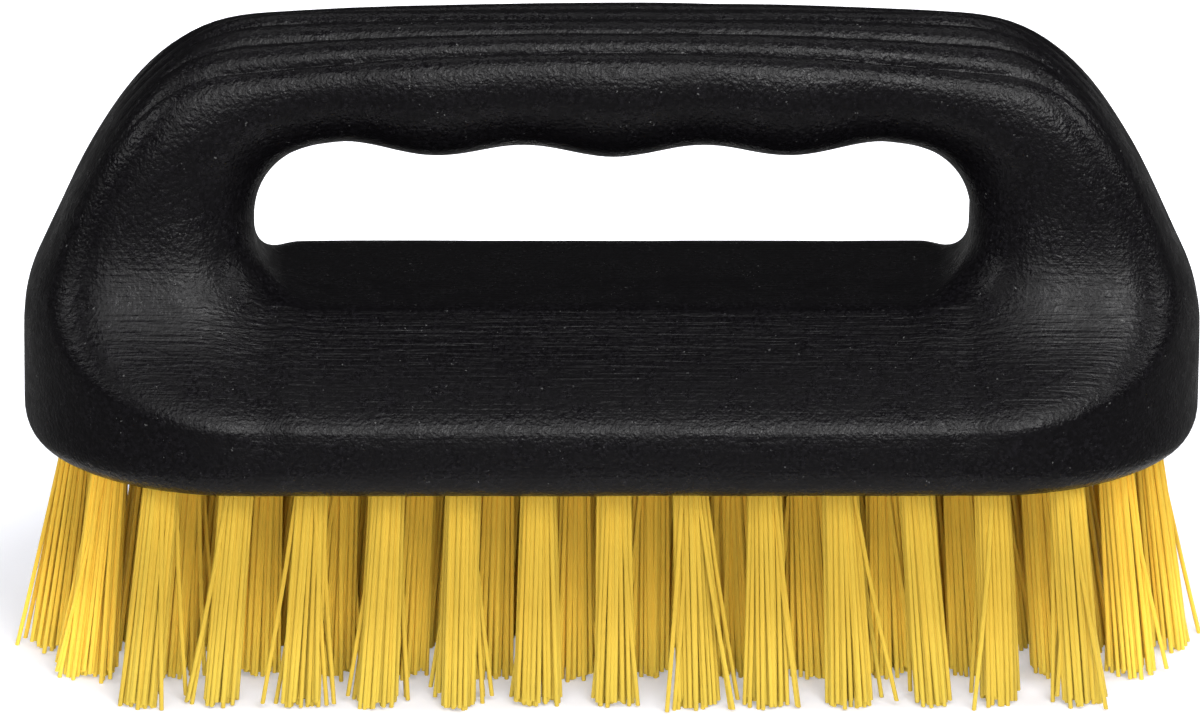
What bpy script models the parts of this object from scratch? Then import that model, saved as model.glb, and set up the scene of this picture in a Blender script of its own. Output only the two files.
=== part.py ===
# Wash brush: a moulded block with a closed grip above it, and staple-set tufts of bristle below.
# Metres, +Z up, +X along the block. The bristle tips stand on z = 0.

import math

import bmesh
import bpy
import numpy as np
from mathutils import Matrix, Vector

# Block, seen from above
BLOCK_LENGTH = 0.152
BLOCK_WIDTH = 0.060
PLAN_CORNER_RADIUS = 0.0282

# Heights above the block's underside
BODY_HEIGHT = 0.0568
WALL_HEIGHT = 0.0120
OPENING_FLOOR = 0.0212
OPENING_CEILING = 0.0384
GRIP_MIDDLE = 0.0470
LEAN_START = 0.0194

# Front view: the ends lean in, and a wide curve takes them over to the grip
LEG_LEAN_DEG = 24.5
TOP_CORNER_BLEND = 0.0264
END_BLEND = 0.0018
TOP_CROWN = 0.0005

# End view: a straight wall, a flare, and the narrow grip
GRIP_THICKNESS = 0.026
FLARE_WIDTH = 0.055
FLARE_POWER = 4
GRIP_BLEND = 0.0123
SHOULDER_BLEND = 0.005
UNDERSIDE_BLEND = 0.0050

# Finger opening
OPENING_LENGTH = 0.0924
CEILING_CORNER_RADIUS = 0.0097
FRONT_CORNER_RADIUS = 0.0095
BACK_CORNER_RADIUS = 0.0038
PLATFORM_WIDTH = 0.028
SHOULDER_SLOPE_DEG = 33.0
FLOOR_RIM_BLEND = 0.0022
LEG_RIM_BLEND = 0.012
GRIP_RIM_BLEND = 0.0165
CORNER_RIM_REACH = 0.006

# Finger waves under the grip
FINGER_PITCH = 0.0229
FINGER_WAVE = 0.00145
FINGER_RIDGES = 3
CEILING_SAG = 0.0005

# Tufts: how many in each row, and how far its end tufts stand in from the ends of the block
TRIM_LENGTH = 0.0298
OUTER_ROW_SIDE_MARGIN = 0.0084
OUTER_ROW_TUFTS = 13
OUTER_ROW_END_MARGIN = 0.0179
INNER_ROW_TUFTS = 14
INNER_ROW_END_MARGIN = 0.01125
MIDDLE_ROW_TUFTS = 15
MIDDLE_ROW_END_MARGIN = 0.0075
LEAN_ALONG_DEG = 7.0
LEAN_ACROSS_DEG = 1.5

# Tuft holes, with the folded root and the anchor that sit in each
HOLE_DIAMETER = 0.0046
HOLE_DEPTH = 0.0095
SEAT_CLEARANCE = 0.0003
ROOT_STANDOUT = 0.0004
ANCHOR_LENGTH = 0.0054
ANCHOR_THICKNESS = 0.0005
ANCHOR_HEIGHT = 0.0018
ANCHOR_SETBACK = 0.0012

# Strands of one tuft: one in the middle and the rest round it
RING_STRANDS = 5
STRAND_SIDES = 3
STRAND_ROOT_RADIUS = 0.00060
STRAND_TIP_RADIUS = 0.00095
RING_ROOT_RADIUS = 0.00130
RING_TIP_RADIUS = 0.00225
ROOT_BITE = 0.0010

# How finely the round surfaces are cut
GRIP_STATIONS = 24
BLOCK_STATIONS = 6
UPPER_BEND_STATIONS = 8
LOWER_BEND_STATIONS = 12
SECTION_POINTS = 28
HOLE_SIDES = 8
FINE_POINTS = 120
SEARCH_STEPS = 60
SEARCH_HALVINGS = 30
SEARCH_TIMES = 3
SKIN = 0.0002
RADIAN_WORTH = 0.010
CUT_OVERRUN = 0.0005

UNDERSIDE = TRIM_LENGTH
HALF_LENGTH = BLOCK_LENGTH / 2
HALF_WIDTH = BLOCK_WIDTH / 2
OUTER_ROW_OFFSET = HALF_WIDTH - OUTER_ROW_SIDE_MARGIN
ROW_PITCH = OUTER_ROW_OFFSET / 2
ROOT_TOP = HOLE_DEPTH - SEAT_CLEARANCE
ANCHOR_LEVEL = ROOT_TOP - ANCHOR_SETBACK - ANCHOR_HEIGHT / 2
ROWS = (
    ("front", -OUTER_ROW_OFFSET, OUTER_ROW_TUFTS, OUTER_ROW_END_MARGIN),
    ("front_inner", -ROW_PITCH, INNER_ROW_TUFTS, INNER_ROW_END_MARGIN),
    ("middle", 0.0, MIDDLE_ROW_TUFTS, MIDDLE_ROW_END_MARGIN),
    ("back_inner", ROW_PITCH, INNER_ROW_TUFTS, INNER_ROW_END_MARGIN),
    ("back", OUTER_ROW_OFFSET, OUTER_ROW_TUFTS, OUTER_ROW_END_MARGIN),
)


def smooth_max(a, b, blend):
    """The larger of two distances, rounded off where they come within the blend of each other."""
    overlap = np.maximum(blend - np.abs(a - b), 0.0) / blend
    return np.maximum(a, b) + overlap * overlap * blend / 4


def smooth_min(a, b, blend):
    return -smooth_max(-a, -b, blend)


def rounded_rectangle(u, v, half_u, half_v, radius):
    """Distance to a rectangle with round corners, negative inside it."""
    du = np.abs(u) - half_u + radius
    dv = np.abs(v) - half_v + radius
    outside = np.hypot(np.maximum(du, 0.0), np.maximum(dv, 0.0))
    return outside + np.minimum(np.maximum(du, dv), 0.0) - radius


def flare_half_width(height):
    """Half the thickness of the legs and the grip at a height above the underside."""
    grip = GRIP_THICKNESS / 2
    below = np.maximum(GRIP_MIDDLE - height, 0.0) / (GRIP_MIDDLE - WALL_HEIGHT)
    return grip + (FLARE_WIDTH / 2 - grip) * below**FLARE_POWER


def grip_underside(x):
    """Height of the opening's ceiling, with a ridge between each two fingers."""
    reach = (FINGER_RIDGES + 1) * FINGER_PITCH / 2
    fade = np.clip((reach - np.abs(x)) / (FINGER_PITCH / 2), 0.0, 1.0)
    wave = np.cos(x * 2 * math.pi / FINGER_PITCH)
    sag = np.maximum(1 - (x / reach) ** 2, 0.0)
    return OPENING_CEILING - FINGER_WAVE / 2 * wave * fade - CEILING_SAG * sag


def outer_distance(x, y, height):
    """Distance to the body as it would be with no finger opening."""
    leaning = HALF_LENGTH + (LEAN_START - height) * math.tan(math.radians(LEG_LEAN_DEG))
    reach = smooth_min(leaning, HALF_LENGTH, END_BLEND)
    plan = rounded_rectangle(x, y, reach, HALF_WIDTH, PLAN_CORNER_RADIUS)
    sides = smooth_max(plan, np.abs(y) - flare_half_width(height), SHOULDER_BLEND)
    above = smooth_max(sides, -height, UNDERSIDE_BLEND)
    outwards = np.clip(np.abs(x) / HALF_LENGTH, 0.0, 1.0)
    top = height - BODY_HEIGHT + TOP_CROWN * outwards**2
    return smooth_max(above, top, GRIP_BLEND + (TOP_CORNER_BLEND - GRIP_BLEND) * outwards**2)


def opening_distance(x, y, height):
    """Distance to the finger opening, whose floor slopes away in front of and behind the platform."""
    slope = math.tan(math.radians(SHOULDER_SLOPE_DEG))
    floor = OPENING_FLOOR - np.maximum(np.abs(y) - PLATFORM_WIDTH / 2, 0.0) * slope
    ceiling = grip_underside(x)
    half_height = (ceiling - floor) / 2
    rise = height - floor - half_height
    frontwards = np.clip(0.5 - y / PLATFORM_WIDTH, 0.0, 1.0)
    lower = BACK_CORNER_RADIUS + (FRONT_CORNER_RADIUS - BACK_CORNER_RADIUS) * frontwards
    corner = np.where(rise > 0, CEILING_CORNER_RADIUS, lower)
    return rounded_rectangle(x, rise, OPENING_LENGTH / 2, half_height, np.minimum(half_height, corner))


def body_distance(x, y, height):
    """Distance to the moulding: the outer form less the opening, with the rims rounded off."""
    rise = np.clip((height - OPENING_FLOOR) / (OPENING_CEILING - OPENING_FLOOR), 0.0, 1.0)
    sideways = np.clip((np.abs(x) - OPENING_LENGTH / 2) / CORNER_RIM_REACH + 1, 0.0, 1.0)
    upright = np.maximum(np.minimum(2 * rise, 1.0), sideways)
    low = FLOOR_RIM_BLEND + (LEG_RIM_BLEND - FLOOR_RIM_BLEND) * upright
    rim = low + (GRIP_RIM_BLEND - LEG_RIM_BLEND) * np.maximum(2 * rise - 1, 0.0)
    return smooth_max(outer_distance(x, y, height), -opening_distance(x, y, height), rim)


def spokes():
    """Where each section of the loft starts, inside the opening, and which way it points, as X and Z."""
    middle = (OPENING_FLOOR + OPENING_CEILING) / 2
    straight = OPENING_LENGTH / 2 - CEILING_CORNER_RADIUS
    bend = [math.pi / 2 * (1 - i / UPPER_BEND_STATIONS) for i in range(UPPER_BEND_STATIONS)]
    bend += [-math.pi / 2 * i / LOWER_BEND_STATIONS for i in range(LOWER_BEND_STATIONS)]
    right = [(straight * 2 * i / GRIP_STATIONS, middle, 0.0, 1.0) for i in range(GRIP_STATIONS // 2)]
    right += [(straight, middle, math.cos(turn), math.sin(turn)) for turn in bend]
    right += [
        (straight * (1 - 2 * i / BLOCK_STATIONS), middle, 0.0, -1.0) for i in range(BLOCK_STATIONS // 2 + 1)
    ]
    left = [(-x, z, -dir_x, dir_z) for x, z, dir_x, dir_z in reversed(right[1:-1])]
    return np.array(right + left)


def crossing(distance_at, reach):
    """How far along each ray the distance first turns positive: found in even steps, then by halving."""
    steps = [distance_at(reach * i / SEARCH_STEPS) > 0 for i in range(SEARCH_STEPS + 1)]
    far = reach * np.argmax(steps, axis=0) / SEARCH_STEPS
    near = far - reach / SEARCH_STEPS
    for _ in range(SEARCH_HALVINGS):
        half = (near + far) / 2
        beyond = distance_at(half) > 0
        far = np.where(beyond, half, far)
        near = np.where(beyond, near, half)
    return (near + far) / 2


def spaced_by_bend(out, side):
    """Picks points along each half section, closer together where it bends."""
    steps_out, steps_side = np.diff(out, axis=0), np.diff(side, axis=0)
    worth = np.hypot(steps_out, steps_side)
    heading = np.unwrap(np.arctan2(steps_side, steps_out), axis=0)
    worth[1:] += RADIAN_WORTH * np.abs(np.diff(heading, axis=0))
    along = np.vstack([np.zeros_like(worth[:1]), np.cumsum(worth, axis=0)])
    wanted = np.linspace(0.0, 1.0, SECTION_POINTS // 2 + 1)
    picked = []
    for i in range(out.shape[1]):
        places = wanted * along[-1, i]
        picked.append((np.interp(places, along[:, i], out[:, i]), np.interp(places, along[:, i], side[:, i])))
    return np.array(picked)


def body_sections():
    """The points of each section of the body, one closed ring for each spoke."""
    start_x, start_z, dir_x, dir_z = spokes().T

    def distance_at(along, y):
        return body_distance(start_x + dir_x * along, y, start_z + dir_z * along)

    level = np.zeros_like(start_x)
    reach = np.full_like(start_x, BLOCK_LENGTH)
    entry = crossing(lambda along: -distance_at(along, level), reach)
    skin = entry + SKIN
    leave = skin + crossing(lambda along: distance_at(skin + along, level), reach)
    middle = (entry + leave) / 2
    half_depth = (leave - entry) / 2

    halves = []
    for way in (1.0, -1.0):
        half_width = crossing(lambda y, way=way: distance_at(middle, y * way), reach)
        out, side = [], []
        for i in range(FINE_POINTS + 1):
            turn = math.pi * i / FINE_POINTS
            ray_out, ray_side = half_depth * math.cos(turn), half_width * math.sin(turn) * way
            scale = crossing(
                lambda times, ray_out=ray_out, ray_side=ray_side: distance_at(
                    middle + ray_out * times, ray_side * times
                ),
                np.full_like(start_x, SEARCH_TIMES),
            )
            out.append(middle + ray_out * scale)
            side.append(ray_side * scale)
        halves.append(spaced_by_bend(np.array(out), np.array(side)))

    sections = []
    for x, z, dx, dz, back, front in zip(start_x, start_z, dir_x, dir_z, *halves):
        ring = list(zip(*back)) + list(zip(*front))[-2:0:-1]
        sections.append([(x + dx * o, s, UNDERSIDE + z + dz * o) for o, s in ring])
    return sections


def collection(name):
    made = bpy.data.collections.new(name)
    bpy.context.scene.collection.children.link(made)
    return made


def material(name, colour, roughness, metallic=0.0):
    made = bpy.data.materials.new(name)
    made.use_nodes = True
    shader = made.node_tree.nodes["Principled BSDF"]
    shader.inputs["Base Color"].default_value = (*colour, 1.0)
    shader.inputs["Roughness"].default_value = roughness
    shader.inputs["Metallic"].default_value = metallic
    return made


def new_object(name, mesh, group):
    made = bpy.data.objects.new(name, mesh)
    group.objects.link(made)
    return made


def mesh_of(name, build):
    """A mesh filled by a function that adds to a bmesh."""
    mesh = bpy.data.meshes.new(name)
    work = bmesh.new()
    build(work)
    bmesh.ops.recalc_face_normals(work, faces=work.faces)
    work.to_mesh(mesh)
    work.free()
    return mesh


def add_body(work):
    """The body's surface: a loft through unlike sections, right round the finger opening."""
    rings = [[work.verts.new(point) for point in section] for section in body_sections()]
    for ring, following in zip(rings, rings[1:] + rings[:1]):
        for j, corner in enumerate(ring):
            k = (j + 1) % len(ring)
            work.faces.new((corner, ring[k], following[k], following[j]))


def tuft_places():
    """Each tuft's row, number, the mouth of its hole and the direction in which it points."""
    places = []
    for row, y, count, margin in ROWS:
        for i in range(count):
            x = (HALF_LENGTH - margin) * (2 * i / (count - 1) - 1)
            along = math.radians(LEAN_ALONG_DEG) * x / HALF_LENGTH
            across = math.radians(LEAN_ACROSS_DEG) * y / OUTER_ROW_OFFSET
            down = Vector((math.tan(along), math.tan(across), -1.0)).normalized()
            places.append((row, i, Vector((x, y, UNDERSIDE)), down))
    return places


def axes(point, along, up):
    """A matrix with its origin at a point, X along one way and Z as near as can be to the other."""
    across = up.cross(along).normalized()
    turn = Matrix((along.normalized(), across, along.cross(across).normalized())).transposed()
    return Matrix.Translation(point) @ turn.to_4x4()


def into_hole(point, down):
    """Axes at a point of a hole, with Z into the block and X as near as can be along the row."""
    return axes(point, Vector((1.0, 0.0, 0.0)) - down * down.x, -down)


def add_cylinder(work, place, low, high, radius):
    """A cylinder from low to high on the place's Z axis, with a flat side, not an edge, facing its X."""
    shift = Matrix.Translation((0.0, 0.0, (low + high) / 2))
    turn = Matrix.Rotation(math.pi / HOLE_SIDES, 4, "Z")
    bmesh.ops.create_cone(
        work,
        cap_ends=True,
        segments=HOLE_SIDES,
        radius1=radius,
        radius2=radius,
        depth=high - low,
        matrix=place @ shift @ turn,
    )


def add_anchor(work, tufts, spare):
    """A flat anchor across a tuft's fold, or one that runs through two tufts, grown by some spare room."""
    folds = [mouth - down * ANCHOR_LEVEL for _, _, mouth, down in tufts]
    down = tufts[0][3]
    run = folds[-1] - folds[0]
    place = axes((folds[0] + folds[1]) / 2, run, -down) if len(tufts) > 1 else into_hole(folds[0], down)
    size = (run.length + ANCHOR_LENGTH + 2 * spare, ANCHOR_THICKNESS + 2 * spare, ANCHOR_HEIGHT + 2 * spare)
    bmesh.ops.create_cube(work, size=1.0, matrix=place @ Matrix.Diagonal((*size, 1.0)))


def add_strand(work, root, tip, turn):
    """A strand between two level ends: a cone whose axis is sheared over from the tip to the root."""
    drop = root.z - tip.z
    shear = Matrix.Identity(4)
    shear[0][2] = (root.x - tip.x) / drop
    shear[1][2] = (root.y - tip.y) / drop
    bmesh.ops.create_cone(
        work,
        cap_ends=True,
        segments=STRAND_SIDES,
        radius1=STRAND_TIP_RADIUS,
        radius2=STRAND_ROOT_RADIUS,
        depth=drop,
        matrix=Matrix.Translation((tip + root) / 2) @ shear @ Matrix.Rotation(turn, 4, "Z"),
    )


def add_strands(work, tufts):
    """The strands of each tuft, from inside its root down to the level cut at z = 0."""
    for _, _, mouth, down in tufts:
        root_middle = mouth + down * (ROOT_STANDOUT - ROOT_BITE)
        tip_middle = mouth + down * (UNDERSIDE / -down.z)
        add_strand(work, root_middle, tip_middle, 0.0)
        for i in range(RING_STRANDS):
            turn = 2 * math.pi * i / RING_STRANDS + math.pi / 2
            out = Vector((math.cos(turn), math.sin(turn), 0.0))
            add_strand(work, root_middle + out * RING_ROOT_RADIUS, tip_middle + out * RING_TIP_RADIUS, turn)


def add_roots(work, tufts):
    for _, _, mouth, down in tufts:
        add_cylinder(
            work, into_hole(mouth, down), -ROOT_STANDOUT, ROOT_TOP, HOLE_DIAMETER / 2 - SEAT_CLEARANCE
        )


def add_holes(work, tufts):
    for _, _, mouth, down in tufts:
        add_cylinder(work, into_hole(mouth, down), -CUT_OVERRUN, HOLE_DEPTH, HOLE_DIAMETER / 2)


def fused(name, meshes):
    """One closed mesh from several that overlap."""
    objects = [new_object(name, mesh, bpy.context.scene.collection) for mesh in meshes]
    for other in objects[1:]:
        join = objects[0].modifiers.new("join", "BOOLEAN")
        join.operation = "UNION"
        join.object = other
    bpy.context.view_layer.update()
    graph = bpy.context.evaluated_depsgraph_get()
    made = bpy.data.meshes.new_from_object(objects[0].evaluated_get(graph))
    for obj in objects:
        bpy.data.objects.remove(obj)
    return made


def tuft_groups(places):
    """Each tuft by itself, but the two at each end of a row together, on one anchor."""
    groups = []
    for row, _, _, _ in ROWS:
        tufts = [place for place in places if place[0] == row]
        groups += [tufts[:2], *([tuft] for tuft in tufts[2:-2]), tufts[-2:]]
    return groups


def tuft_name(tufts):
    return "_".join(["tuft", tufts[0][0], *(f"{tuft[1] + 1:02d}" for tuft in tufts)])


def tuft_mesh(name, tufts):
    return fused(
        name,
        [
            mesh_of(name, lambda work: add_roots(work, tufts)),
            mesh_of(name, lambda work: add_anchor(work, tufts, 0.0)),
            mesh_of(name, lambda work: add_strands(work, tufts)),
        ],
    )


def cut(target, name, build, group):
    """Cuts from the target what a function adds to a bmesh."""
    cutter = new_object(name, mesh_of(name, build), group)
    cutter.hide_render = True
    cutter.display_type = "WIRE"
    step = target.modifiers.new(name, "BOOLEAN")
    step.operation = "DIFFERENCE"
    step.object = cutter


def main():
    for obj in list(bpy.data.objects):
        bpy.data.objects.remove(obj)
    parts = collection("wash_brush")
    cutters = collection("cutters")
    black = material("black_foamed_plastic", (0.012, 0.012, 0.014), 0.55)
    yellow = material("yellow_bristle", (0.86, 0.60, 0.07), 0.42)
    groups = tuft_groups(tuft_places())

    def add_anchor_slots(work):
        for tufts in groups:
            add_anchor(work, tufts, SEAT_CLEARANCE)

    body = new_object("brush_body", mesh_of("brush_body", add_body), parts)
    body.data.materials.append(black)
    body.data.shade_smooth()
    cut(body, "tuft_holes", lambda work: add_holes(work, sum(groups, [])), cutters)
    cut(body, "anchor_slots", add_anchor_slots, cutters)

    for tufts in groups:
        name = tuft_name(tufts)
        tuft = new_object(name, tuft_mesh(name, tufts), parts)
        tuft.data.materials.append(yellow)


main()
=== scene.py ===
import math

import bmesh
import bpy
import numpy as np
from mathutils import Matrix, Vector, noise


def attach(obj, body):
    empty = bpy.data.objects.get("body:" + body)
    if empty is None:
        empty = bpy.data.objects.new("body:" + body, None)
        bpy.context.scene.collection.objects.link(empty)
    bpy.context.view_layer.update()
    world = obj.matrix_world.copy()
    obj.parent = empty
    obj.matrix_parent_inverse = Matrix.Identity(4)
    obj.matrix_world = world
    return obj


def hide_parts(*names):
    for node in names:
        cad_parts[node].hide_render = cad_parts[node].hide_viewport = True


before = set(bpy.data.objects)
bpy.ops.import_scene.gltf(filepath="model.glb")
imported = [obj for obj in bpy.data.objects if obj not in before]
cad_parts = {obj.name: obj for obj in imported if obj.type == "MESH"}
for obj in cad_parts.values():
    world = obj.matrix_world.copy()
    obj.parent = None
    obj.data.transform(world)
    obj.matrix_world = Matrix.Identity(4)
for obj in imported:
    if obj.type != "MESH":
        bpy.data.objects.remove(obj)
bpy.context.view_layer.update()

# Wash brush: black foamed-plastic block and grip, five rows of yellow bristle tufts
# Metres, +Z up, +X along the block, the bristle tips on z = 0

print("frame loaded:", len(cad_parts), "nodes")

# The block and grip: heights are above the block's underside
body = {
    "underside": 0.0298,
    "length": 0.152,
    "width": 0.060,
    "planCornerRadius": 0.0282,
    "height": 0.0568,
    "wallHeight": 0.0130,
    "openingFloor": 0.0212,
    "openingCeiling": 0.0384,
    "gripMiddle": 0.0470,
    "leanStart": 0.0194,
    "legLean": math.radians(24.5),
    "topCornerBlend": 0.0264,
    "endBlend": 0.0018,
    "topCrown": 0.0005,
    "gripThickness": 0.026,
    "flareWidth": 0.055,
    "flarePower": 4,
    "gripBlend": 0.0123,
    "shoulderBlend": 0.005,
    "undersideBlend": 0.0050,
    "openingLength": 0.0924,
    "ceilingCornerRadius": 0.0097,
    "frontCornerRadius": 0.0095,
    "backCornerRadius": 0.0038,
    "platformWidth": 0.028,
    "shoulderSlope": math.radians(28.0),
    "floorRim": 0.0065,
    "legRim": 0.012,
    "gripRim": 0.0165,
    "cornerRimReach": 0.006,
    "fingerPitch": 0.0229,
    "fingerWave": 0.00145,
    "fingerRidges": 3,
    "ceilingSag": 0.0005,
    "sharpEdge": math.radians(38),
    # Sections are taken right round the opening, and each is a ring of points
    "gripStations": 76,
    "upperBendStations": 26,
    "lowerBendStations": 46,
    "blockStations": 24,
    "bendSamples": 500,
    "closerAt": (math.radians(37), math.radians(14.7)),  # the underside's edge, the foot of the lean
    "closerBy": 2.2,
    "closerWithin": math.radians(5.5),
    "ringPoints": 288,
    "ringSamples": 421,
    "justInside": 0.0002,
    "bendWorth": 0.008,  # a radian of bend takes as many points as this much length
}

# The rounded ribs along the top of the grip: where the creases between them lie, out from the middle
ribs = {
    "creases": (0.0019, 0.0057, 0.0091),
    "depth": 0.00074,
    "roundness": 2.5,
    "shoulder": 0.0016,  # the grip's own side takes over past the last crease
    "fullTo": 0.044,  # from the middle, along X
    "goneBy": 0.068,
    "steepness": 4.0,  # they fade out as the grip's side turns upright
    "closerBy": 2.4,  # points lie closer together over the ribs
}

# The uneven skin of a foamed moulding
skin = {"swell": 0.00006, "swellSize": 0.014, "ripple": 0.00002, "rippleSize": 0.0045}

# Tufts, row by row: the node names' row, its place across the block, its count and end margin
tufts = {
    "rows": (
        ("front", -0.0216, 13, 0.0179),
        ("front_inner", -0.0108, 14, 0.01125),
        ("middle", 0.0, 15, 0.0075),
        ("back_inner", 0.0108, 14, 0.01125),
        ("back", 0.0216, 13, 0.0179),
    ),
    "leanAlong": math.radians(7.0),
    "leanAcross": math.radians(1.5),
    "holeDiameter": 0.0046,
    "holeDepth": 0.0095,
    "holeSides": 20,
    "mouthChamfer": 0.00035,
    "pastMouth": 0.001,  # how far the hole's cutter stands out of the block
}


def smoothMax(a, b, blend):
    overlap = np.maximum(blend - np.abs(a - b), 0.0) / blend
    return np.maximum(a, b) + overlap * overlap * blend / 4


def eased(share):
    return share * share * (3 - 2 * share)


def roundedRectangle(u, v, halfU, halfV, radius):
    du = np.abs(u) - halfU + radius
    dv = np.abs(v) - halfV + radius
    outside = np.hypot(np.maximum(du, 0.0), np.maximum(dv, 0.0))
    return outside + np.minimum(np.maximum(du, dv), 0.0) - radius


# Distance to the moulding as it would be with no opening for the fingers
def outerDistance(x, y, h):
    halfLength = body["length"] / 2
    leaning = halfLength + (body["leanStart"] - h) * math.tan(body["legLean"])
    reach = -smoothMax(-leaning, -halfLength, body["endBlend"])
    plan = roundedRectangle(x, y, reach, body["width"] / 2, body["planCornerRadius"])
    grip = body["gripThickness"] / 2
    below = np.maximum(body["gripMiddle"] - h, 0.0) / (body["gripMiddle"] - body["wallHeight"])
    flare = grip + (body["flareWidth"] / 2 - grip) * below ** body["flarePower"]
    sides = smoothMax(plan, np.abs(y) - flare, body["shoulderBlend"])
    above = smoothMax(sides, -h, body["undersideBlend"])
    outwards = np.clip(np.abs(x) / halfLength, 0.0, 1.0)
    top = h - body["height"] + body["topCrown"] * outwards**2
    blend = body["gripBlend"] + (body["topCornerBlend"] - body["gripBlend"]) * outwards**2
    return smoothMax(above, top, blend)


# Distance to the opening, with its waved ceiling and a floor that slopes off the platform
def openingDistance(x, y, h):
    away = np.maximum(np.abs(y) - body["platformWidth"] / 2, 0.0)
    floor = body["openingFloor"] - away * math.tan(body["shoulderSlope"])
    reach = (body["fingerRidges"] + 1) * body["fingerPitch"] / 2
    fade = np.clip((reach - np.abs(x)) / (body["fingerPitch"] / 2), 0.0, 1.0)
    wave = body["fingerWave"] / 2 * np.cos(x * 2 * math.pi / body["fingerPitch"]) * fade
    sag = body["ceilingSag"] * np.maximum(1 - (x / reach) ** 2, 0.0)
    halfHeight = (body["openingCeiling"] - wave - sag - floor) / 2
    rise = h - floor - halfHeight
    front, back = body["frontCornerRadius"], body["backCornerRadius"]
    lower = back + (front - back) * np.clip(0.5 - y / body["platformWidth"], 0.0, 1.0)
    corner = np.minimum(halfHeight, np.where(rise > 0, body["ceilingCornerRadius"], lower))
    return roundedRectangle(x, rise, body["openingLength"] / 2, halfHeight, corner)


# Distance to the moulding with its opening, whose rim is rounder at the grip than at the floor
def bodyDistance(x, y, h):
    rise = np.clip((h - body["openingFloor"]) / (body["openingCeiling"] - body["openingFloor"]), 0.0, 1.0)
    past = (np.abs(x) - body["openingLength"] / 2) / body["cornerRimReach"]
    sideways = eased(np.clip(past + 1, 0.0, 1.0))
    upright = np.maximum(np.minimum(2 * rise, 1.0), sideways)
    low = body["floorRim"] + (body["legRim"] - body["floorRim"]) * upright
    rim = low + (body["gripRim"] - body["legRim"]) * np.maximum(2 * rise - 1, 0.0)
    return smoothMax(outerDistance(x, y, h), -openingDistance(x, y, h), rim)


# Where each section starts inside the opening, and which way it looks, right round the loop
def sectionStarts():
    middle = (body["openingFloor"] + body["openingCeiling"]) / 2
    straight = body["openingLength"] / 2 - body["ceilingCornerRadius"]
    grip, upper = body["gripStations"], body["upperBendStations"]
    lower, block = body["lowerBendStations"], body["blockStations"]
    turns = [math.pi / 2 * (1 - i / upper) for i in range(upper)]
    fine = np.linspace(0.0, math.pi / 2, body["bendSamples"])
    density = 1 + sum(
        body["closerBy"] * np.exp(-(((fine - place) / body["closerWithin"]) ** 2))
        for place in body["closerAt"]
    )
    share = np.cumsum(density) - density[0]
    turns += [-np.interp(share[-1] * i / lower, share, fine) for i in range(lower)]
    right = [(straight * 2 * i / grip, middle, 0.0, 1.0) for i in range(grip // 2)]
    right += [(straight, middle, math.cos(turn), math.sin(turn)) for turn in turns]
    right += [(straight * (1 - 2 * i / block), middle, 0.0, -1.0) for i in range(block // 2 + 1)]
    left = [(-x, z, -dx, dz) for x, z, dx, dz in reversed(right[1:-1])]
    return np.array(right + left)


# How far along each ray the distance first turns positive
def crossing(distanceAt, reach, steps=60, halvings=22):
    found = np.array([distanceAt(reach * i / steps) > 0 for i in range(steps + 1)])
    far = reach * np.argmax(found, axis=0) / steps
    near = far - reach / steps
    for _ in range(halvings):
        half = (near + far) / 2
        beyond = distanceAt(half) > 0
        far = np.where(beyond, half, far)
        near = np.where(beyond, near, half)
    return (near + far) / 2


# The closed rings of the loft: points lie closer together in bends and over the ribs
def bodyRings():
    startX, startZ, dirX, dirZ = sectionStarts().T
    level = np.zeros_like(startX)
    reach = np.full_like(startX, body["length"])

    def distanceAt(along, y):
        return bodyDistance(startX + dirX * along, y, startZ + dirZ * along)

    entry = crossing(lambda along: -distanceAt(along, level), reach)
    inside = entry + body["justInside"]
    leave = inside + crossing(lambda along: distanceAt(inside + along, level), reach)
    middle, halfDepth = (entry + leave) / 2, (leave - entry) / 2
    turns = np.linspace(0.0, math.pi, body["ringSamples"])[:, None]
    wanted = np.linspace(0.0, 1.0, body["ringPoints"] // 2 + 1)
    onGrip = np.clip(dirZ * 2 + 0.6, 0.0, 1.0)
    halves = []
    for way in (1.0, -1.0):
        halfWidth = crossing(lambda y: distanceAt(middle, y * way), reach)
        rayOut, raySide = halfDepth * np.cos(turns), halfWidth * np.sin(turns) * way
        longest = np.full_like(rayOut, 3.0)
        scale = crossing(lambda k: distanceAt(middle + rayOut * k, raySide * k), longest)
        out, side = middle + rayOut * scale, raySide * scale
        stepOut, stepSide = np.diff(out, axis=0), np.diff(side, axis=0)
        worth = np.hypot(stepOut, stepSide)
        heading = np.unwrap(np.arctan2(stepSide, stepOut), axis=0)
        worth[1:] += body["bendWorth"] * np.abs(np.diff(heading, axis=0))
        overRibs = (np.abs(side[1:]) < ribs["creases"][-1] + ribs["shoulder"]) & (out[1:] > middle)
        worth *= np.where(overRibs, 1 + ribs["closerBy"] * onGrip, 1.0)
        along = np.vstack([np.zeros_like(worth[:1]), np.cumsum(worth, axis=0)])
        half = []
        for i in range(out.shape[1]):
            places = wanted * along[-1, i]
            o = np.interp(places, along[:, i], out[:, i])
            s = np.interp(places, along[:, i], side[:, i])
            half.append(np.stack([startX[i] + dirX[i] * o, s, startZ[i] + dirZ[i] * o], axis=1))
        halves.append(half)
    return np.array([np.vstack([back, front[-2:0:-1]]) for back, front in zip(*halves)])


# Which way the surface faces, from the distance on either side of each point
def facing(points):
    x, y, h = points.T
    step = 0.00005
    slopes = [
        bodyDistance(x + dx, y + dy, h + dz) - bodyDistance(x - dx, y - dy, h - dz)
        for dx, dy, dz in ((step, 0, 0), (0, step, 0), (0, 0, step))
    ]
    normals = np.stack(slopes, axis=1)
    return normals / np.linalg.norm(normals, axis=1, keepdims=True)


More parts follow.
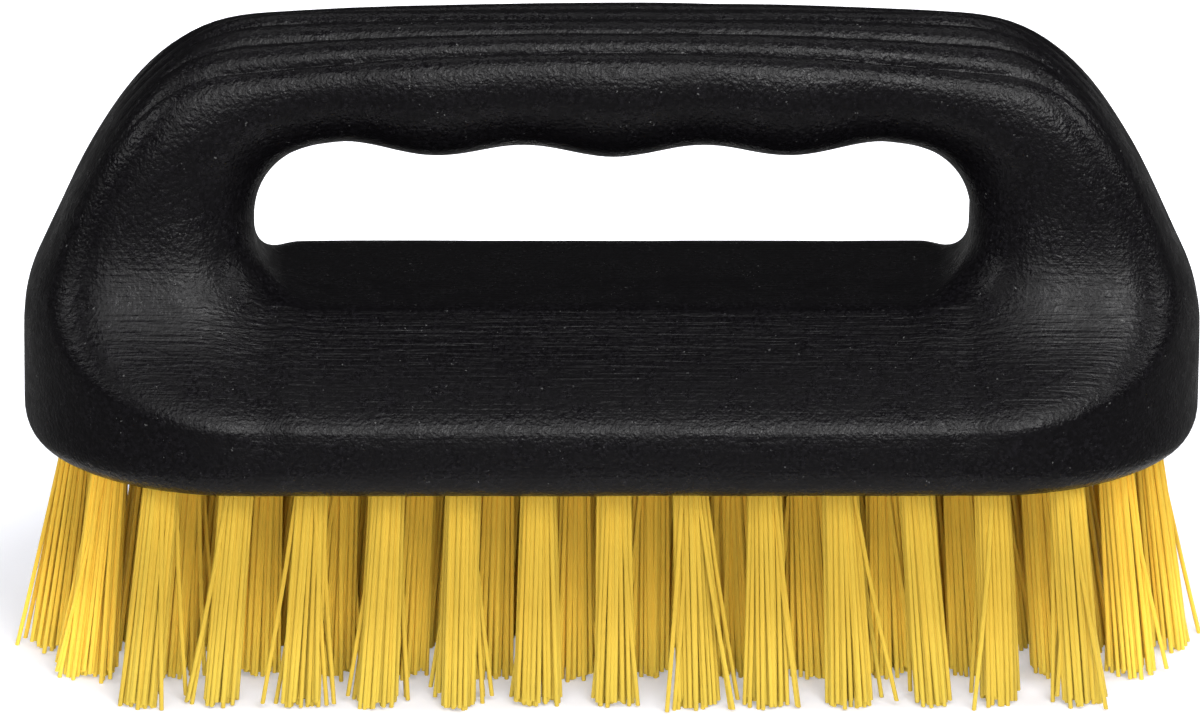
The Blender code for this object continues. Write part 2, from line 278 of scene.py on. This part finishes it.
# How deep the surface lies under the smooth form between and beside the ribs
def creaseDepth(points, normals):
    x, y, h = np.abs(points[:, 0]), np.abs(points[:, 1]), points[:, 2]
    creases = ribs["creases"]
    edges = [-creases[0], *creases]
    sunk = np.zeros_like(y)
    for low, high in zip(edges, edges[1:]):
        off = np.abs(2 * y - low - high) / (high - low)
        sunk = np.where((y >= low) & (y < high), off ** ribs["roundness"], sunk)
    past = np.clip((y - creases[-1]) / ribs["shoulder"], 0.0, 1.0)
    sunk = np.where(y >= creases[-1], (1 - past) ** 2, sunk)
    along = eased(np.clip((ribs["goneBy"] - x) / (ribs["goneBy"] - ribs["fullTo"]), 0.0, 1.0))
    upper = np.clip(normals[:, 2] * ribs["steepness"], 0.0, 1.0) * (h > body["openingCeiling"])
    return ribs["depth"] * sunk * along * upper


# Slow swells and small ripples, as the skin of a foamed moulding has
def skinHeight(points):
    rise = np.zeros(len(points))
    for i, point in enumerate(points):
        place = Vector(point)
        rise[i] = skin["swell"] * noise.noise(place / skin["swellSize"])
        rise[i] += skin["ripple"] * noise.noise(place / skin["rippleSize"])
    return rise


# Every tuft's row, the middle of its hole's mouth, and its lean for each metre down
def tuftPlaces():
    places = []
    for row, y, count, margin in tufts["rows"]:
        for i in range(count):
            x = (body["length"] / 2 - margin) * (2 * i / (count - 1) - 1)
            along = tufts["leanAlong"] * x / (body["length"] / 2)
            across = tufts["leanAcross"] * y / tufts["rows"][-1][1]
            lean = Vector((math.tan(along), math.tan(across), -1.0))
            places.append((row, Vector((x, y, body["underside"])), lean))
    return places


def newPiece(name, data):
    piece = bpy.data.objects.new(name, data)
    bpy.context.scene.collection.objects.link(piece)
    return piece


# A piece's mesh becomes what its modifiers make of it
def settle(piece):
    bpy.context.view_layer.update()
    graph = bpy.context.evaluated_depsgraph_get()
    piece.data = bpy.data.meshes.new_from_object(piece.evaluated_get(graph))
    piece.modifiers.clear()


# Round holes for the tufts, each with a small chamfer at its mouth
def holeCutter():
    work = bmesh.new()
    radius, chamfer = tufts["holeDiameter"] / 2, tufts["mouthChamfer"]
    sides, past = tufts["holeSides"], tufts["pastMouth"]
    ends = ((-past, radius + chamfer + past), (chamfer, radius), (tufts["holeDepth"], radius))
    for _, mouth, lean in tuftPlaces():
        turn = lean.normalized().to_track_quat("-Z", "Y").to_matrix().to_4x4()
        place = Matrix.Translation(mouth) @ turn
        loops = []
        for level, size in ends:
            loops.append([
                work.verts.new(place @ Vector((size * math.cos(a), size * math.sin(a), level)))
                for a in (2 * math.pi * k / sides for k in range(sides))
            ])
        for low, high in zip(loops, loops[1:]):
            for k in range(sides):
                n = (k + 1) % sides
                work.faces.new((low[k], low[n], high[n], high[k]))
        work.faces.new(loops[0][::-1])
        work.faces.new(loops[-1])
    bmesh.ops.recalc_face_normals(work, faces=work.faces)
    mesh = bpy.data.meshes.new("holeCutter")
    work.to_mesh(mesh)
    work.free()
    return newPiece("holeCutter", mesh)


def makeBlockAndGrip():
    rings = bodyRings()
    count, around = rings.shape[:2]
    points = rings.reshape(-1, 3)
    normals = facing(points)
    points = points + normals * (skinHeight(points) - creaseDepth(points, normals))[:, None]
    points[:, 2] += body["underside"]
    i, j = np.meshgrid(np.arange(count), np.arange(around), indexing="ij")
    following, beside = (i + 1) % count, (j + 1) % around
    corners = [i * around + j, i * around + beside, following * around + beside, following * around + j]
    faces = np.stack(corners, axis=-1).reshape(-1, 4)
    mesh = bpy.data.meshes.new("blockAndGrip")
    mesh.from_pydata(points.tolist(), [], faces.tolist())
    work = bmesh.new()
    work.from_mesh(mesh)
    bmesh.ops.recalc_face_normals(work, faces=work.faces)
    work.to_mesh(mesh)
    work.free()
    piece = newPiece("blockAndGrip", mesh)
    cutter = holeCutter()
    step = piece.modifiers.new("tuftHoles", "BOOLEAN")
    step.operation = "DIFFERENCE"
    step.object = cutter
    settle(piece)
    bpy.data.objects.remove(cutter)
    piece.data.shade_smooth()
    piece.data.set_sharp_from_angle(angle=body["sharpEdge"])
    print("block and grip:", len(piece.data.polygons), "faces")
    return piece


# Shader helpers
def newMaterial(name):
    made = bpy.data.materials.new(name)
    made.use_nodes = True
    return made, made.node_tree, made.node_tree.nodes["Principled BSDF"]


def addNode(tree, kind, inputs=None, **settings):
    node = tree.nodes.new(kind)
    for key, value in settings.items():
        setattr(node, key, value)
    for key, value in (inputs or {}).items():
        if isinstance(value, bpy.types.NodeSocket):
            tree.links.new(value, node.inputs[key])
        else:
            node.inputs[key].default_value = value
    return node


def grain(tree, place, scale, detail, roughness, stretch=(1.0, 1.0, 1.0), distortion=0.0):
    mapping = addNode(tree, "ShaderNodeMapping", {"Vector": place, "Scale": stretch})
    inputs = {
        "Vector": mapping.outputs[0],
        "Scale": scale,
        "Detail": detail,
        "Roughness": roughness,
        "Distortion": distortion,
    }
    return addNode(tree, "ShaderNodeTexNoise", inputs).outputs["Fac"]


def between(tree, value, low, high, toLow=0.0, toHigh=1.0):
    inputs = {"Value": value, "From Min": low, "From Max": high, "To Min": toLow, "To Max": toHigh}
    return addNode(tree, "ShaderNodeMapRange", inputs).outputs[0]


def combine(tree, operation, a, b=0.0):
    return addNode(tree, "ShaderNodeMath", {0: a, 1: b}, operation=operation).outputs[0]


def tint(tree, share, a, b):
    return addNode(tree, "ShaderNodeMix", {0: share, 6: a, 7: b}, data_type="RGBA").outputs[2]


# Noise scales are per metre; a pair is the range a value is read over, and four add what it turns into
blackPlastic = {
    "colour": (0.0027, 0.0024, 0.0030, 1.0),
    "greyer": (0.0080, 0.0074, 0.0090, 1.0),
    "speck": (0.10, 0.10, 0.10, 1.0),
    "specular": 0.20,
    "patch": {"scale": 170.0, "detail": 3.0, "roughness": 0.6, "distortion": 0.5},
    "mottle": {"scale": 560.0, "detail": 4.0, "roughness": 0.65, "distortion": 0.3},
    "sparkle": {"scale": 1900.0, "detail": 1.0, "roughness": 0.6},
    "scratch": {"scale": 1900.0, "detail": 3.0, "roughness": 0.6, "stretch": (0.04, 1.0, 1.0)},
    "speckle": {"scale": 2300.0, "detail": 1.0, "roughness": 0.4},
    "patchShare": 0.45,
    "mottleShare": 0.55,
    "greyWhere": (0.40, 0.60, 0.15, 1.0),
    "sparkleWhere": (0.42, 0.66),
    "speckWhere": (0.72, 0.78),
    "speckAmong": (0.50, 0.62),
    "roughness": (0.42, 0.60, 0.38, 0.21),
    "sparkleDepth": 0.00013,
    "mottleDepth": 0.00013,
    "scratchDepth": 0.00016,
    # By height: the slope and the feet of the grip are rubbed along X, the block's wall hardly is
    "rubbedSlope": (0.050, 0.062, 0.9, 0.15),
    "rubbedWall": (0.0405, 0.0445, 0.35, 0.9),
    "grainyGrip": (0.050, 0.062, 0.45, 1.0),
    "grainyWall": (0.0405, 0.0445, 0.85, 0.45),
}


def makeBlackPlastic():
    made, tree, shader = newMaterial("blackFoamedPlastic")
    look = blackPlastic
    place = addNode(tree, "ShaderNodeTexCoord").outputs["Object"]
    height = addNode(tree, "ShaderNodeSeparateXYZ", {0: place}).outputs["Z"]
    patch = grain(tree, place, **look["patch"])
    mottle = grain(tree, place, **look["mottle"])
    sparkle = grain(tree, place, **look["sparkle"])
    scratch = grain(tree, place, **look["scratch"])
    speckle = grain(tree, place, **look["speckle"])

    patches = combine(tree, "MULTIPLY", patch, look["patchShare"])
    mottles = combine(tree, "MULTIPLY", mottle, look["mottleShare"])
    mix = combine(tree, "ADD", patches, mottles)
    sparkles = between(tree, sparkle, *look["sparkleWhere"])
    grey = combine(tree, "MULTIPLY", between(tree, mix, *look["greyWhere"]), sparkles)
    colour = tint(tree, grey, look["colour"], look["greyer"])
    among = between(tree, mottle, *look["speckAmong"])
    specks = combine(tree, "MULTIPLY", between(tree, speckle, *look["speckWhere"]), among)
    tree.links.new(tint(tree, specks, colour, look["speck"]), shader.inputs["Base Color"])
    tree.links.new(between(tree, mix, *look["roughness"]), shader.inputs["Roughness"])
    shader.inputs["Specular IOR Level"].default_value = look["specular"]

    slope, wall = (between(tree, height, *look[name]) for name in ("rubbedSlope", "rubbedWall"))
    rubbed = combine(tree, "MINIMUM", slope, wall)
    grip, wall = (between(tree, height, *look[name]) for name in ("grainyGrip", "grainyWall"))
    grainy = combine(tree, "MAXIMUM", grip, wall)
    reliefs = (
        (grainy, look["sparkleDepth"], sparkle),
        (rubbed, look["scratchDepth"], scratch),
        (grainy, look["mottleDepth"], mottle),
    )
    under = {}
    for strength, depth, relief in reliefs:
        inputs = {"Strength": strength, "Distance": depth, "Height": relief, **under}
        bump = addNode(tree, "ShaderNodeBump", inputs).outputs[0]
        under = {"Normal": bump}
    tree.links.new(bump, shader.inputs["Normal"])
    return made


yellowBristle = {
    # Painted light and shade: the tips are lighter, and the colour turns darker and deeper orange towards
    # the roots
    "tip": (0.84, 0.64, 0.092, 1.0),
    "root": (0.63, 0.440, 0.054, 1.0),
    "paintedShadeFrom": (0.001, 0.014),  # by height: painted light and shade, from the lighter tips to the darker, deeper orange roots
    "deep": (0.62, 0.36, 0.028, 1.0),
    "deepShare": 0.25,  # at most, from one filament to the next
    "inner": (0.0145, 0.0175, 1.38, 1.0),  # out from the middle: painted light, the inner rows made brighter as if lit through the outer ones
    "streak": {"scale": 900.0, "detail": 2.0, "roughness": 0.5, "stretch": (1.0, 1.0, 0.05)},
    "streaked": (0.3, 0.7, 0.95, 1.04),
    "paintedLightUnderBlock": (0.020, 0.0295, 0.96, 1.20),  # by height: painted light, brighter towards the roots to offset the block's shadow
    "roughness": 0.55,
    "diffuseRoughness": 1.0,
    "specular": 0.3,
}


def makeYellowBristle():
    made, tree, shader = newMaterial("yellowBristle")
    look = yellowBristle
    place = addNode(tree, "ShaderNodeTexCoord").outputs["Object"]
    axes = addNode(tree, "ShaderNodeSeparateXYZ", {0: place}).outputs
    height, across = axes["Z"], combine(tree, "ABSOLUTE", axes["Y"])
    tone = addNode(tree, "ShaderNodeAttribute", attribute_name="tone").outputs["Fac"]
    streak = grain(tree, place, **look["streak"])
    # Painted light and shade: lighter at the tips, darker and deeper orange up towards the roots
    colour = tint(tree, between(tree, height, *look["paintedShadeFrom"]), look["tip"], look["root"])
    colour = tint(tree, combine(tree, "MULTIPLY", tone, look["deepShare"]), colour, look["deep"])
    # Painted light: the inner rows are made brighter
    value = between(tree, across, *look["inner"])
    value = combine(tree, "MULTIPLY", value, between(tree, streak, *look["streaked"]))
    # Painted light: brighter towards the roots, against the block's shadow
    value = combine(tree, "MULTIPLY", value, between(tree, height, *look["paintedLightUnderBlock"]))
    varied = addNode(tree, "ShaderNodeHueSaturation", {"Color": colour, "Value": value})
    tree.links.new(varied.outputs[0], shader.inputs["Base Color"])
    shader.inputs["Roughness"].default_value = look["roughness"]
    shader.inputs["Diffuse Roughness"].default_value = look["diffuseRoughness"]
    shader.inputs["Specular IOR Level"].default_value = look["specular"]
    return made


filaments = {
    "perTuft": 64,
    "sides": 6,
    "segments": 4,
    "thickness": 0.00058,
    "rootRadius": 0.00198,
    "spread": {  # row by row: the tips' radius, and how far the tuft bulges below its hole
        "front": (0.00262, 0.0),
        "front_inner": (0.00282, 0.0002),
        "middle": (0.00325, 0.0008),
        "back_inner": (0.00282, 0.0002),
        "back": (0.00262, 0.0),
    },
    "bulgePower": 0.4,
    "depthInHole": 0.0070,
    "packingTurn": 2.39996,
    "tuftTurn": 1.7,
    "fullTurn": 6.28319,
    "clumps": 5.0,
    "clumpStep": 7.0,  # from one tuft's clump numbers to the next
    "unevenTips": 0.0014,
    "unevenPower": 1.6,
    "jitter": 0.00030,
    "clumpSway": 0.00058,
    "tuftSway": 0.00050,
    "swayPower": 1.25,
    "strayShare": 0.055,
    "strayReach": 0.0034,
    "strayLeast": 0.45,
    "strayAcross": 0.5,
    "seed": 11,
    "seedStep": 31,
}


# One tree grows every row: it reads each tuft's mouth as a point, with its lean and number
def filamentTree(finish):
    tree = bpy.data.node_groups.new("tuftFilaments", "GeometryNodeTree")
    face = tree.interface
    face.new_socket(name="Mouths", in_out="INPUT", socket_type="NodeSocketGeometry")
    tipRadius, bulge = filaments["spread"]["front"]
    sizes = (
        ("Filaments per tuft", "NodeSocketInt", filaments["perTuft"]),
        ("Filament thickness", "NodeSocketFloat", filaments["thickness"]),
        ("Root radius", "NodeSocketFloat", filaments["rootRadius"]),
        ("Tip radius", "NodeSocketFloat", tipRadius),
        ("Bulge below the hole", "NodeSocketFloat", bulge),
        ("Depth in hole", "NodeSocketFloat", filaments["depthInHole"]),
        ("Trim length", "NodeSocketFloat", body["underside"]),
        ("Uneven tips", "NodeSocketFloat", filaments["unevenTips"]),
        ("Jitter", "NodeSocketFloat", filaments["jitter"]),
        ("Clump sway", "NodeSocketFloat", filaments["clumpSway"]),
        ("Tuft sway", "NodeSocketFloat", filaments["tuftSway"]),
        ("Stray share", "NodeSocketFloat", filaments["strayShare"]),
        ("Stray reach", "NodeSocketFloat", filaments["strayReach"]),
        ("Seed", "NodeSocketInt", filaments["seed"]),
        ("Finish", "NodeSocketMaterial", finish),
    )
    for name, kind, value in sizes:
        face.new_socket(name=name, in_out="INPUT", socket_type=kind).default_value = value
    face.new_socket(name="Filaments", in_out="OUTPUT", socket_type="NodeSocketGeometry")
    given = tree.nodes.new("NodeGroupInput").outputs

    def compute(operation, a, b=0.0):
        return combine(tree, operation, a, b)

    def vector(operation, a, b):
        return addNode(tree, "ShaderNodeVectorMath", {0: a, 1: b}, operation=operation).outputs[0]

    def scaled(a, k):
        return addNode(tree, "ShaderNodeVectorMath", {0: a, "Scale": k}, operation="SCALE").outputs[0]

    def level(x, y):
        return addNode(tree, "ShaderNodeCombineXYZ", {0: x, 1: y, 2: 0.0}).outputs[0]

    def named(name, kind="FLOAT_VECTOR"):
        return addNode(tree, "GeometryNodeInputNamedAttribute", {"Name": name}, data_type=kind).outputs[0]

    def store(geometry, name, value, kind="FLOAT_VECTOR"):
        inputs = {"Geometry": geometry, "Name": name, "Value": value}
        node = addNode(tree, "GeometryNodeStoreNamedAttribute", inputs, data_type=kind, domain="POINT")
        return node.outputs[0]

    def chance(low, high, number, offset):
        inputs = {2: low, 3: high, 7: number, 8: compute("ADD", given["Seed"], offset)}
        return addNode(tree, "FunctionNodeRandomValue", inputs, data_type="FLOAT").outputs[1]

    def anyWay(size, number, offset):
        minus = compute("MULTIPLY", size, -1.0)
        return level(chance(minus, size, number, offset), chance(minus, size, number, offset + 1))

    inputs = {"Geometry": given["Mouths"], "Amount": given["Filaments per tuft"]}
    copies = addNode(tree, "GeometryNodeDuplicateElements", inputs, domain="POINT")
    order = copies.outputs[1]
    tuft = named("tuft", "INT")
    index = tree.nodes.new("GeometryNodeInputIndex").outputs[0]
    lean = named("lean")
    mouth = tree.nodes.new("GeometryNodeInputPosition").outputs[0]

    # A sunflower's packing gives each filament its place in the tuft
    share = compute("SQRT", compute("DIVIDE", compute("ADD", order, 0.5), given["Filaments per tuft"]))
    turn = compute("MULTIPLY", order, filaments["packingTurn"])
    turn = compute("ADD", turn, compute("MULTIPLY", tuft, filaments["tuftTurn"]))
    disc = scaled(level(compute("COSINE", turn), compute("SINE", turn)), share)

    # The filaments of each tuft hang together in a few clumps
    sector = compute("FRACT", compute("DIVIDE", turn, filaments["fullTurn"]))
    clump = compute("FLOOR", compute("MULTIPLY", sector, filaments["clumps"]))
    clump = compute("ADD", clump, compute("MULTIPLY", tuft, filaments["clumpStep"]))

    root = vector("SUBTRACT", mouth, scaled(lean, given["Depth in hole"]))
    root = vector("ADD", root, scaled(disc, given["Root radius"]))
    short = compute("POWER", chance(0.0, 1.0, index, 3), filaments["unevenPower"])
    drop = compute("SUBTRACT", given["Trim length"], compute("MULTIPLY", short, given["Uneven tips"]))
    tip = vector("ADD", vector("ADD", mouth, scaled(lean, drop)), scaled(disc, given["Tip radius"]))
    sway = vector("ADD", anyWay(given["Jitter"], index, 5), anyWay(given["Clump sway"], clump, 9))
    sway = vector("ADD", sway, anyWay(given["Tuft sway"], tuft, 13))

    # A few stray out of the tuft along X
    isStray = compute("LESS_THAN", chance(0.0, 1.0, index, 17), given["Stray share"])
    reach = compute("MULTIPLY", given["Stray reach"], chance(filaments["strayLeast"], 1.0, index, 19))
    most = filaments["strayAcross"]
    across = compute("MULTIPLY", compute("MULTIPLY", reach, chance(-most, most, index, 21)), isStray)
    along = compute("MULTIPLY", reach, compute("SIGN", compute("COSINE", turn)))
    sway = vector("ADD", sway, level(compute("MULTIPLY", along, isStray), across))

    # One filament, one unit long, that remembers its own place on itself
    inputs = {"Vertices": filaments["sides"], "Side Segments": filaments["segments"]}
    inputs.update({"Radius": 0.5, "Depth": 1.0})
    unit = addNode(tree, "GeometryNodeMeshCylinder", inputs).outputs
    inputs = {"Geometry": unit["Mesh"], "Selection": unit["Side"], "Shade Smooth": True}
    smooth = addNode(tree, "GeometryNodeSetShadeSmooth", inputs).outputs[0]
    filament = store(smooth, "onUnit", tree.nodes.new("GeometryNodeInputPosition").outputs[0])

    stored = copies.outputs[0]
    for name, value in (("root", root), ("tip", tip), ("sway", sway), ("disc", disc)):
        stored = store(stored, name, value)
    stored = store(stored, "tone", chance(0.0, 1.0, index, 23), "FLOAT")
    grown = addNode(tree, "GeometryNodeInstanceOnPoints", {"Points": stored, "Instance": filament})
    real = addNode(tree, "GeometryNodeRealizeInstances", {"Geometry": grown.outputs[0]})

    # Each filament runs from its root to its tip, and sways only below the hole
    own = addNode(tree, "ShaderNodeSeparateXYZ", {0: named("onUnit")}).outputs
    down = compute("SUBTRACT", 0.5, own["Z"])
    fromRoot = vector("SUBTRACT", named("tip"), named("root"))
    straight = vector("ADD", named("root"), scaled(fromRoot, down))
    whole = compute("ADD", given["Depth in hole"], given["Trim length"])
    mouthShare = compute("DIVIDE", given["Depth in hole"], whole)
    below = compute("SUBTRACT", down, mouthShare)
    below = compute("MAXIMUM", compute("DIVIDE", below, compute("SUBTRACT", 1.0, mouthShare)), 0.0)
    swing = compute("POWER", below, filaments["swayPower"])
    swayed = vector("ADD", straight, scaled(named("sway"), swing))
    outwards = compute("POWER", below, filaments["bulgePower"])
    outwards = compute("MULTIPLY", given["Bulge below the hole"], outwards)
    swayed = vector("ADD", swayed, scaled(named("disc"), outwards))
    girth = scaled(level(own["X"], own["Y"]), given["Filament thickness"])
    inputs = {"Geometry": real.outputs[0], "Position": vector("ADD", swayed, girth)}
    placed = addNode(tree, "GeometryNodeSetPosition", inputs)
    inputs = {"Geometry": placed.outputs[0], "Material": given["Finish"]}
    dressed = addNode(tree, "GeometryNodeSetMaterial", inputs)
    tree.links.new(dressed.outputs[0], tree.nodes.new("NodeGroupOutput").inputs[0])
    return tree


def growRow(row, tree):
    places = [(mouth, lean) for name, mouth, lean in tuftPlaces() if name == row]
    first = [name for name, _, _ in tuftPlaces()].index(row)
    points = bpy.data.meshes.new("mouths")
    points.from_pydata([mouth for mouth, _ in places], [], [])
    lean = points.attributes.new("lean", "FLOAT_VECTOR", "POINT")
    lean.data.foreach_set("vector", [value for _, lean in places for value in lean])
    number = points.attributes.new("tuft", "INT", "POINT")
    number.data.foreach_set("value", [first + i for i in range(len(places))])
    name = "bristles" + row.title().replace("_", "")
    piece = newPiece(name, points)
    grow = piece.modifiers.new("grow", "NODES")
    grow.node_group = tree
    tipRadius, bulge = filaments["spread"][row]
    own = {
        "Seed": filaments["seed"] + filaments["seedStep"] * first,
        "Tip radius": tipRadius,
        "Bulge below the hole": bulge,
    }
    for item in tree.interface.items_tree:
        if item.in_out == "INPUT" and item.name in own:
            grow[item.identifier] = own[item.name]
    settle(piece)
    piece.data.name = name
    for spare in ("onUnit", "root", "tip", "sway", "disc", "lean", "tuft"):
        if spare in piece.data.attributes:
            piece.data.attributes.remove(piece.data.attributes[spare])
    print(name + ":", len(places), "tufts,", len(piece.data.polygons), "faces")
    return piece


# Camera: the photograph's angle, found by fitting the moulding's outline
view = {
    "azimuth": math.radians(-1.139),
    "elevation": math.radians(19.196),
    "roll": math.radians(0.349),
    "distance": 1.7396,
    "target": (-0.001493, 0.0, 0.039149),
    "pixelsPerMetre": 7717.0,  # at the target, in a frame 1200 pixels wide
    "frameWidth": 1200,
    "sensorWidth": 36.0,
    "clip": (0.05, 50.0),
}


# From the brush out to a place at this azimuth and elevation, one metre away
def outTo(azimuth, elevation):
    level = math.cos(elevation)
    return Vector((math.sin(azimuth) * level, -math.cos(azimuth) * level, math.sin(elevation)))


def makeCamera():
    azimuth, roll = view["azimuth"], view["roll"]
    back = outTo(azimuth, view["elevation"])
    level = Vector((math.cos(azimuth), math.sin(azimuth), 0.0))
    upright = back.cross(level)
    right = level * math.cos(roll) + upright * math.sin(roll)
    up = back.cross(right)
    data = bpy.data.cameras.new("camera")
    data.sensor_width = view["sensorWidth"]
    data.lens = view["pixelsPerMetre"] * view["distance"] / view["frameWidth"] * data.sensor_width
    data.clip_start, data.clip_end = view["clip"]
    camera = newPiece("camera", data)
    turn = Matrix((right, up, back)).transposed().to_4x4()
    camera.matrix_world = Matrix.Translation(Vector(view["target"]) + back * view["distance"]) @ turn
    bpy.context.scene.camera = camera


studio = {
    "lamps": (  # name, azimuth, elevation, distance, width, height, watts
        ("key", 18.0, 40.0, 0.9, 0.30, 0.28, 2.1),
        ("softKey", 6.0, 44.0, 0.9, 0.95, 0.85, 6.2),
        ("left", -84.0, 35.0, 0.9, 0.45, 0.34, 1.5),
        ("right", 86.0, 35.0, 0.9, 0.45, 0.34, 2.0),
        ("front", -4.0, 5.0, 1.1, 1.30, 0.20, 0.25),
        ("back", 176.0, 68.0, 0.9, 0.90, 0.30, 1.1),
    ),
    "fills": (  # the plastic doesn't mirror these
        ("frontFill", -2.0, 9.0, 1.1, 1.10, 0.30, 7.4),
        ("rearFill", 178.0, 14.0, 1.1, 1.10, 0.30, 5.5),
        ("leftFill", -90.0, 12.0, 1.1, 0.60, 0.30, 1.5),
        ("rightFill", 90.0, 12.0, 1.1, 0.60, 0.30, 2.0),
    ),
    "aim": (0.0, 0.0, 0.045),
    "white": (1.0, 1.0, 1.0, 1.0),
    "worldStrength": 0.031,
    "floorSize": 6.0,
    "floorRoughness": 0.9,
    "floorColour": (0.15, 0.15, 0.15, 1.0),
    "floorNear": (0.70, 0.70, 0.70, 1.0),  # the pale sheet close under the brush
    "nearTo": (0.090, 0.100),
    "floorSeen": (0.78, 0.79, 0.86, 1.0),  # by the camera alone, so that the shadow shows on white
    "floorLift": (0.085, 0.150, 0.32, 1.0),  # by distance: beside the brush, and away from it
}


def addLamp(name, azimuth, elevation, distance, width, height, power):
    back = outTo(math.radians(azimuth), math.radians(elevation))
    data = bpy.data.lights.new(name, "AREA")
    data.shape = "RECTANGLE"
    data.size, data.size_y = width, height
    data.energy = power
    lamp = newPiece(name, data)
    lamp.location = Vector(studio["aim"]) + back * distance
    lamp.rotation_mode = "QUATERNION"
    lamp.rotation_quaternion = (-back).to_track_quat("-Z", "Y")
    return lamp


def makeFloor():
    work = bmesh.new()
    bmesh.ops.create_grid(work, x_segments=1, y_segments=1, size=studio["floorSize"])
    mesh = bpy.data.meshes.new("floor")
    work.to_mesh(mesh)
    work.free()
    floor = newPiece("floor", mesh)
    made, tree, shader = newMaterial("paleFloor")
    shader.inputs["Roughness"].default_value = studio["floorRoughness"]
    shader.inputs["Specular IOR Level"].default_value = 0.0
    seen = addNode(tree, "ShaderNodeLightPath").outputs["Is Camera Ray"]
    place = addNode(tree, "ShaderNodeTexCoord").outputs["Object"]
    away = addNode(tree, "ShaderNodeVectorMath", {0: place}, operation="LENGTH").outputs["Value"]
    sheet = tint(tree, between(tree, away, *studio["nearTo"]), studio["floorNear"], studio["floorColour"])
    tree.links.new(tint(tree, seen, sheet, studio["floorSeen"]), shader.inputs["Base Color"])
    lift = between(tree, away, *studio["floorLift"])
    shader.inputs["Emission Color"].default_value = studio["white"]
    tree.links.new(combine(tree, "MULTIPLY", seen, lift), shader.inputs["Emission Strength"])
    floor.data.materials.append(made)


def makeStudio():
    for lamp in studio["lamps"]:
        addLamp(*lamp)
    for lamp in studio["fills"]:
        addLamp(*lamp).visible_glossy = False
    world = bpy.data.worlds.new("studio")
    world.use_nodes = True
    bpy.context.scene.world = world
    tree = world.node_tree
    seen = addNode(tree, "ShaderNodeLightPath").outputs["Is Camera Ray"]
    inputs = {0: seen, 2: studio["worldStrength"], 3: 1.0}
    strength = addNode(tree, "ShaderNodeMix", inputs, data_type="FLOAT")
    background = tree.nodes["Background"]
    background.inputs["Color"].default_value = studio["white"]
    tree.links.new(strength.outputs[0], background.inputs["Strength"])
    makeFloor()
    bpy.context.scene.view_settings.view_transform = "Standard"


makeCamera()
makeStudio()
print("camera and studio set")

block = makeBlockAndGrip()
block.data.materials.clear()
block.data.materials.append(makeBlackPlastic())
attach(block, "root")
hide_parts("brush_body")

rowTree = filamentTree(makeYellowBristle())
for rowName, _, _, _ in tufts["rows"]:
    rowNodes = [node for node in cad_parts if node.rstrip("_0123456789") == "tuft_" + rowName]
    bristles = growRow(rowName, rowTree)
    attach(bristles, "root")
    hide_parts(*rowNodes)
